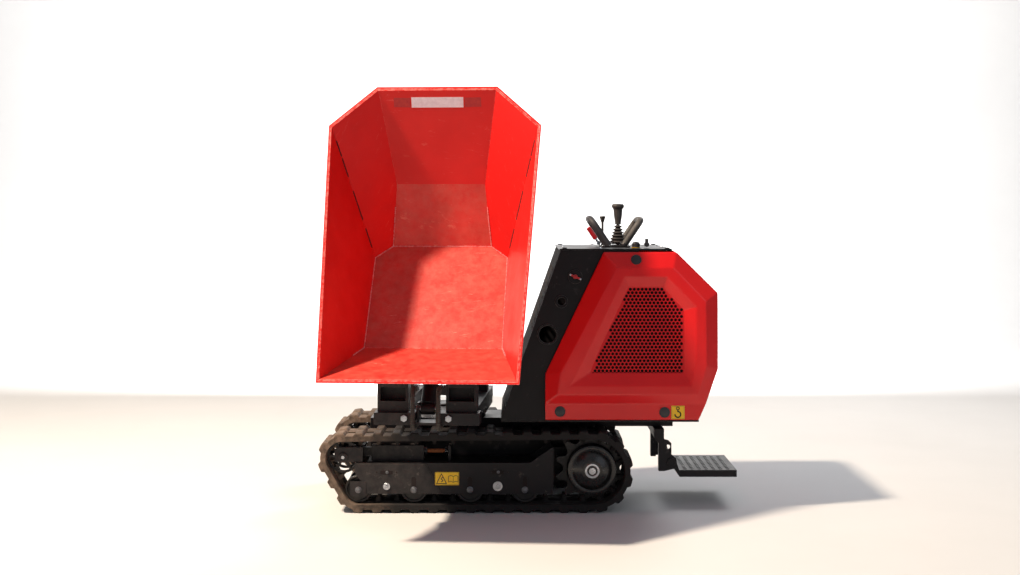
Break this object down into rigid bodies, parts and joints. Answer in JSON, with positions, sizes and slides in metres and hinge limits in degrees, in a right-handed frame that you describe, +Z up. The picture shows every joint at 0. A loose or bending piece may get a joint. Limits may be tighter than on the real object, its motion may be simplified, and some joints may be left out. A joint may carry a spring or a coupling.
{
  "type": "power wheelbarrow",
  "caption": "Rubber-tracked power wheelbarrow: swivelling, tipping red steel skip in front, red engine covers and joystick behind, folding step.",
  "frame": {"origin": "on the ground, midway between the two tracks and midway along them", "axes": "+X to the rear where the operator stands, +Y to the machine's right, +Z up; the skip is swivelled to the left side, -Y, and tipped"},
  "size_m": [1.6242, 1.3031, 1.6245],
  "materials": {
    "skip_red": "gloss",
    "cover_red": "gloss",
    "frame_black": "satin",
    "console_black": "satin",
    "track_rubber": "matte",
    "cast_black": "satin",
    "zinc": "satin",
    "rusty_screw": "rough",
    "rod_chrome": "polished",
    "hose_rubber": "matte",
    "grip_foam": "matte",
    "black_plastic": "matte",
    "red_plastic": "matte",
    "engine_alloy": "rough",
    "tank_black": "matte"
  },
  "bodies": {
    "machine": {"track_left": "track_rubber", "track_right": "track_rubber", "track_frame_left": "frame_black", "track_frame_right": "frame_black", "tension_screws": "rusty_screw", "track_bolts": "zinc", "drive_motors": "cast_black", "chassis": "frame_black", "slew_ring": "zinc", "console_left": "console_black", "console_right": "console_black", "console_grille": "console_black", "console_lid": "console_black", "cover_left": "cover_red", "cover_right": "cover_red", "rear_hood": "cover_red", "cover_plugs": "black_plastic", "engine": "engine_alloy", "fuel_tank": "tank_black", "hydraulic_tank": "frame_black", "hydraulic_pump": "engine_alloy", "battery": "tank_black", "control_valve": "engine_alloy", "handle_front": "grip_foam", "handle_rear": "grip_foam", "step_bracket": "frame_black"},
    "turret": {"swivel_frame": "frame_black", "hinge_pins": "zinc", "tip_hoses": "hose_rubber"},
    "skip": {"skip_pan": "skip_red", "skip_side_left": "skip_red", "skip_side_right": "skip_red", "skip_corners": "skip_red", "skip_rim": "skip_red", "skip_brackets": "skip_red"},
    "ram_barrel": {"tip_barrel": "frame_black"},
    "ram_rod": {"tip_rod": "rod_chrome"},
    "sprocket_left_body": {"sprocket_left": "cast_black"},
    "yoke_left": {"idler_yoke_left": "frame_black"},
    "idler_left_body": {"idler_left": "cast_black"},
    "roller_left_1_body": {"roller_left_1": "cast_black"},
    "roller_left_2_body": {"roller_left_2": "cast_black"},
    "roller_left_3_body": {"roller_left_3": "cast_black"},
    "roller_left_4_body": {"roller_left_4": "cast_black"},
    "sprocket_right_body": {"sprocket_right": "cast_black"},
    "yoke_right": {"idler_yoke_right": "frame_black"},
    "idler_right_body": {"idler_right": "cast_black"},
    "roller_right_1_body": {"roller_right_1": "cast_black"},
    "roller_right_2_body": {"roller_right_2": "cast_black"},
    "roller_right_3_body": {"roller_right_3": "cast_black"},
    "roller_right_4_body": {"roller_right_4": "cast_black"},
    "gimbal": {"joystick_gimbal": "zinc"},
    "stick": {"joystick": "black_plastic"},
    "hold_lever_body": {"hold_lever": "red_plastic"},
    "tip_lever_body": {"tip_lever": "black_plastic"},
    "start_knob_body": {"start_knob": "black_plastic"},
    "toggle_body": {"toggle_switch": "black_plastic"},
    "isolator_body": {"isolator_key": "red_plastic"},
    "step_body": {"folding_step": "frame_black"}
  },
  "joints": [
    {"name": "skip_swivel", "type": "hinge", "parent": "machine", "child": "turret", "pos_m": [-0.115, 0, 0.35], "axis": [0, 0, 1], "range_deg": [-176, 4]},
    {"name": "skip_tip", "type": "hinge", "parent": "turret", "child": "skip", "pos_m": [-0.15933, -0.63395, 0.56], "axis": [0.9976, -0.0698, 0], "range_deg": [-52, 13]},
    {"name": "ram_swing", "type": "hinge", "parent": "turret", "child": "ram_barrel", "pos_m": [-0.15933, -0.63395, 0.44], "axis": [0.9976, -0.0698, 0], "range_deg": [-43.54, 11.63]},
    {"name": "ram_slide", "type": "slide", "parent": "ram_barrel", "child": "ram_rod", "axis": [0.0467, 0.6674, 0.7433], "range_m": [-0.092, 0.0245]},
    {"name": "sprocket_left_spin", "type": "hinge", "parent": "machine", "child": "sprocket_left_body", "pos_m": [0.45, -0.245, 0.1565], "axis": [0, 1, 0], "continuous": true},
    {"name": "tension_left", "type": "slide", "parent": "machine", "child": "yoke_left", "axis": [1, 0, 0], "range_m": [0, 0.025]},
    {"name": "idler_left_spin", "type": "hinge", "parent": "yoke_left", "child": "idler_left_body", "pos_m": [-0.505, -0.245, 0.2085], "axis": [0, 1, 0], "continuous": true},
    {"name": "roller_left_1_spin", "type": "hinge", "parent": "machine", "child": "roller_left_1_body", "pos_m": [-0.445, -0.245, 0.0863], "axis": [0, 1, 0], "continuous": true},
    {"name": "roller_left_2_spin", "type": "hinge", "parent": "machine", "child": "roller_left_2_body", "pos_m": [-0.233, -0.245, 0.0863], "axis": [0, 1, 0], "continuous": true},
    {"name": "roller_left_3_spin", "type": "hinge", "parent": "machine", "child": "roller_left_3_body", "pos_m": [-0.018, -0.245, 0.0863], "axis": [0, 1, 0], "continuous": true},
    {"name": "roller_left_4_spin", "type": "hinge", "parent": "machine", "child": "roller_left_4_body", "pos_m": [0.192, -0.245, 0.0863], "axis": [0, 1, 0], "continuous": true},
    {"name": "sprocket_right_spin", "type": "hinge", "parent": "machine", "child": "sprocket_right_body", "pos_m": [0.45, 0.245, 0.1565], "axis": [0, 1, 0], "continuous": true},
    {"name": "tension_right", "type": "slide", "parent": "machine", "child": "yoke_right", "axis": [1, 0, 0], "range_m": [0, 0.025]},
    {"name": "idler_right_spin", "type": "hinge", "parent": "yoke_right", "child": "idler_right_body", "pos_m": [-0.505, 0.245, 0.2085], "axis": [0, 1, 0], "continuous": true},
    {"name": "roller_right_1_spin", "type": "hinge", "parent": "machine", "child": "roller_right_1_body", "pos_m": [-0.445, 0.245, 0.0863], "axis": [0, 1, 0], "continuous": true},
    {"name": "roller_right_2_spin", "type": "hinge", "parent": "machine", "child": "roller_right_2_body", "pos_m": [-0.233, 0.245, 0.0863], "axis": [0, 1, 0], "continuous": true},
    {"name": "roller_right_3_spin", "type": "hinge", "parent": "machine", "child": "roller_right_3_body", "pos_m": [-0.018, 0.245, 0.0863], "axis": [0, 1, 0], "continuous": true},
    {"name": "roller_right_4_spin", "type": "hinge", "parent": "machine", "child": "roller_right_4_body", "pos_m": [0.192, 0.245, 0.0863], "axis": [0, 1, 0], "continuous": true},
    {"name": "joystick_side_tilt", "type": "hinge", "parent": "machine", "child": "gimbal", "pos_m": [0.571, 0, 1.005], "axis": [1, 0, 0], "range_deg": [-10, 10], "stiffness_Nm_per_rad": 2},
    {"name": "joystick_drive_tilt", "type": "hinge", "parent": "gimbal", "child": "stick", "pos_m": [0.571, 0, 1.005], "axis": [0, 1, 0], "range_deg": [-12, 12], "stiffness_Nm_per_rad": 2},
    {"name": "hold_lever_pull", "type": "hinge", "parent": "machine", "child": "hold_lever_body", "pos_m": [0.494, 0.03, 1.021], "axis": [0, 1, 0], "range_deg": [0, 10], "stiffness_Nm_per_rad": 1, "springref_deg": -5.73},
    {"name": "tip_lever_tilt", "type": "hinge", "parent": "machine", "child": "tip_lever_body", "pos_m": [0.52, 0.19, 1.021], "axis": [0, 1, 0], "range_deg": [-15, 15], "stiffness_Nm_per_rad": 1},
    {"name": "start_knob_turn", "type": "hinge", "parent": "machine", "child": "start_knob_body", "pos_m": [0.627, -0.2, 1.01], "axis": [0, 0, 1], "range_deg": [-60, 0]},
    {"name": "toggle_tilt", "type": "hinge", "parent": "machine", "child": "toggle_body", "pos_m": [0.669, -0.2, 1.021], "axis": [0, 1, 0], "range_deg": [-12, 12]},
    {"name": "isolator_turn", "type": "hinge", "parent": "machine", "child": "isolator_body", "pos_m": [0.3854, -0.309, 0.8996], "axis": [0, 1, 0], "range_deg": [-90, 0]},
    {"name": "step_fold", "type": "hinge", "parent": "machine", "child": "step_body", "pos_m": [0.767, 0, 0.167], "axis": [0, -1, 0], "range_deg": [0, 65]}
  ],
  "couplings": [
    {"joint": "ram_swing", "follows": "skip_tip", "ratio": 0.818},
    {"joint": "ram_slide", "follows": "skip_tip", "m_per_rad": 0.0992},
    {"joint": "idler_left_spin", "follows": "sprocket_left_spin", "ratio": 1.7857},
    {"joint": "roller_left_1_spin", "follows": "sprocket_left_spin", "ratio": 2.0431},
    {"joint": "roller_left_2_spin", "follows": "sprocket_left_spin", "ratio": 2.0431},
    {"joint": "roller_left_3_spin", "follows": "sprocket_left_spin", "ratio": 2.0431},
    {"joint": "roller_left_4_spin", "follows": "sprocket_left_spin", "ratio": 2.0431},
    {"joint": "idler_right_spin", "follows": "sprocket_right_spin", "ratio": 1.7857},
    {"joint": "roller_right_1_spin", "follows": "sprocket_right_spin", "ratio": 2.0431},
    {"joint": "roller_right_2_spin", "follows": "sprocket_right_spin", "ratio": 2.0431},
    {"joint": "roller_right_3_spin", "follows": "sprocket_right_spin", "ratio": 2.0431},
    {"joint": "roller_right_4_spin", "follows": "sprocket_right_spin", "ratio": 2.0431}
  ]
}
